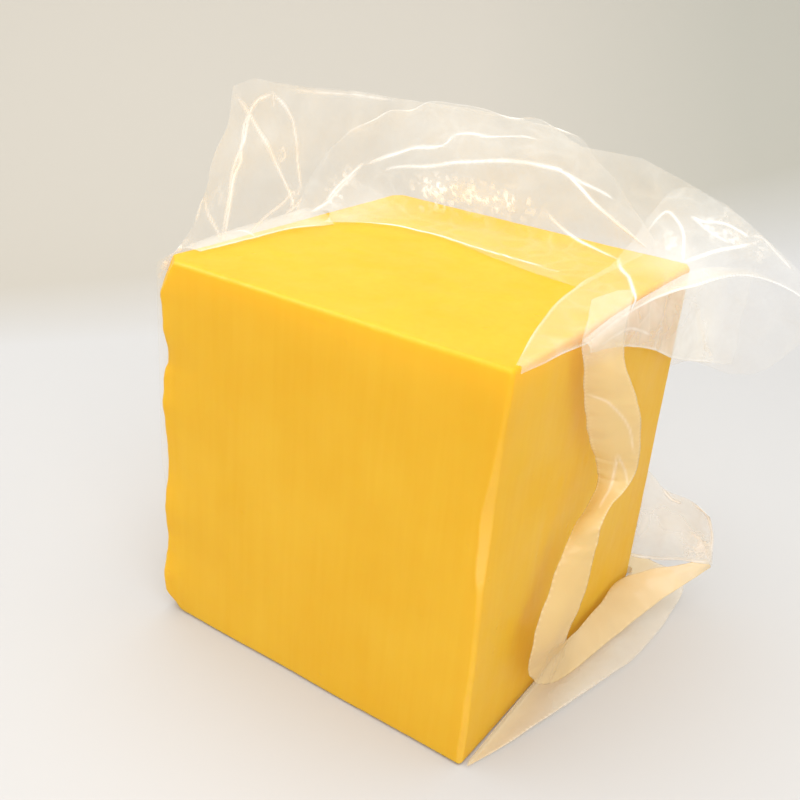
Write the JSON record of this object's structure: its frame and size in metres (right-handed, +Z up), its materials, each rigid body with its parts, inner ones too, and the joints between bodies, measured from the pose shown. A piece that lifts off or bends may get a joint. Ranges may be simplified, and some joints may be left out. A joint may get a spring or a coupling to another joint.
{
  "type": "block of cheddar cheese in an opened clear bag",
  "caption": "Large cube-like block of yellow cheddar standing in its opened clear plastic bag, which clings at the sides and stands up behind the top.",
  "frame": {"origin": "centre of the block's flat underside", "axes": "+Z up, +X towards the block's right face with the hanging ribbon of film, -Y towards the bare front face"},
  "size_m": [0.1791, 0.1471, 0.1793],
  "materials": {
    "cheddar": "satin, moist, slightly translucent",
    "clear_film": "thin clear film, crumpled, glossy"
  },
  "bodies": {
    "root": {"cheese_block": "cheddar", "bag_film": "clear_film"}
  },
  "joints": []
}
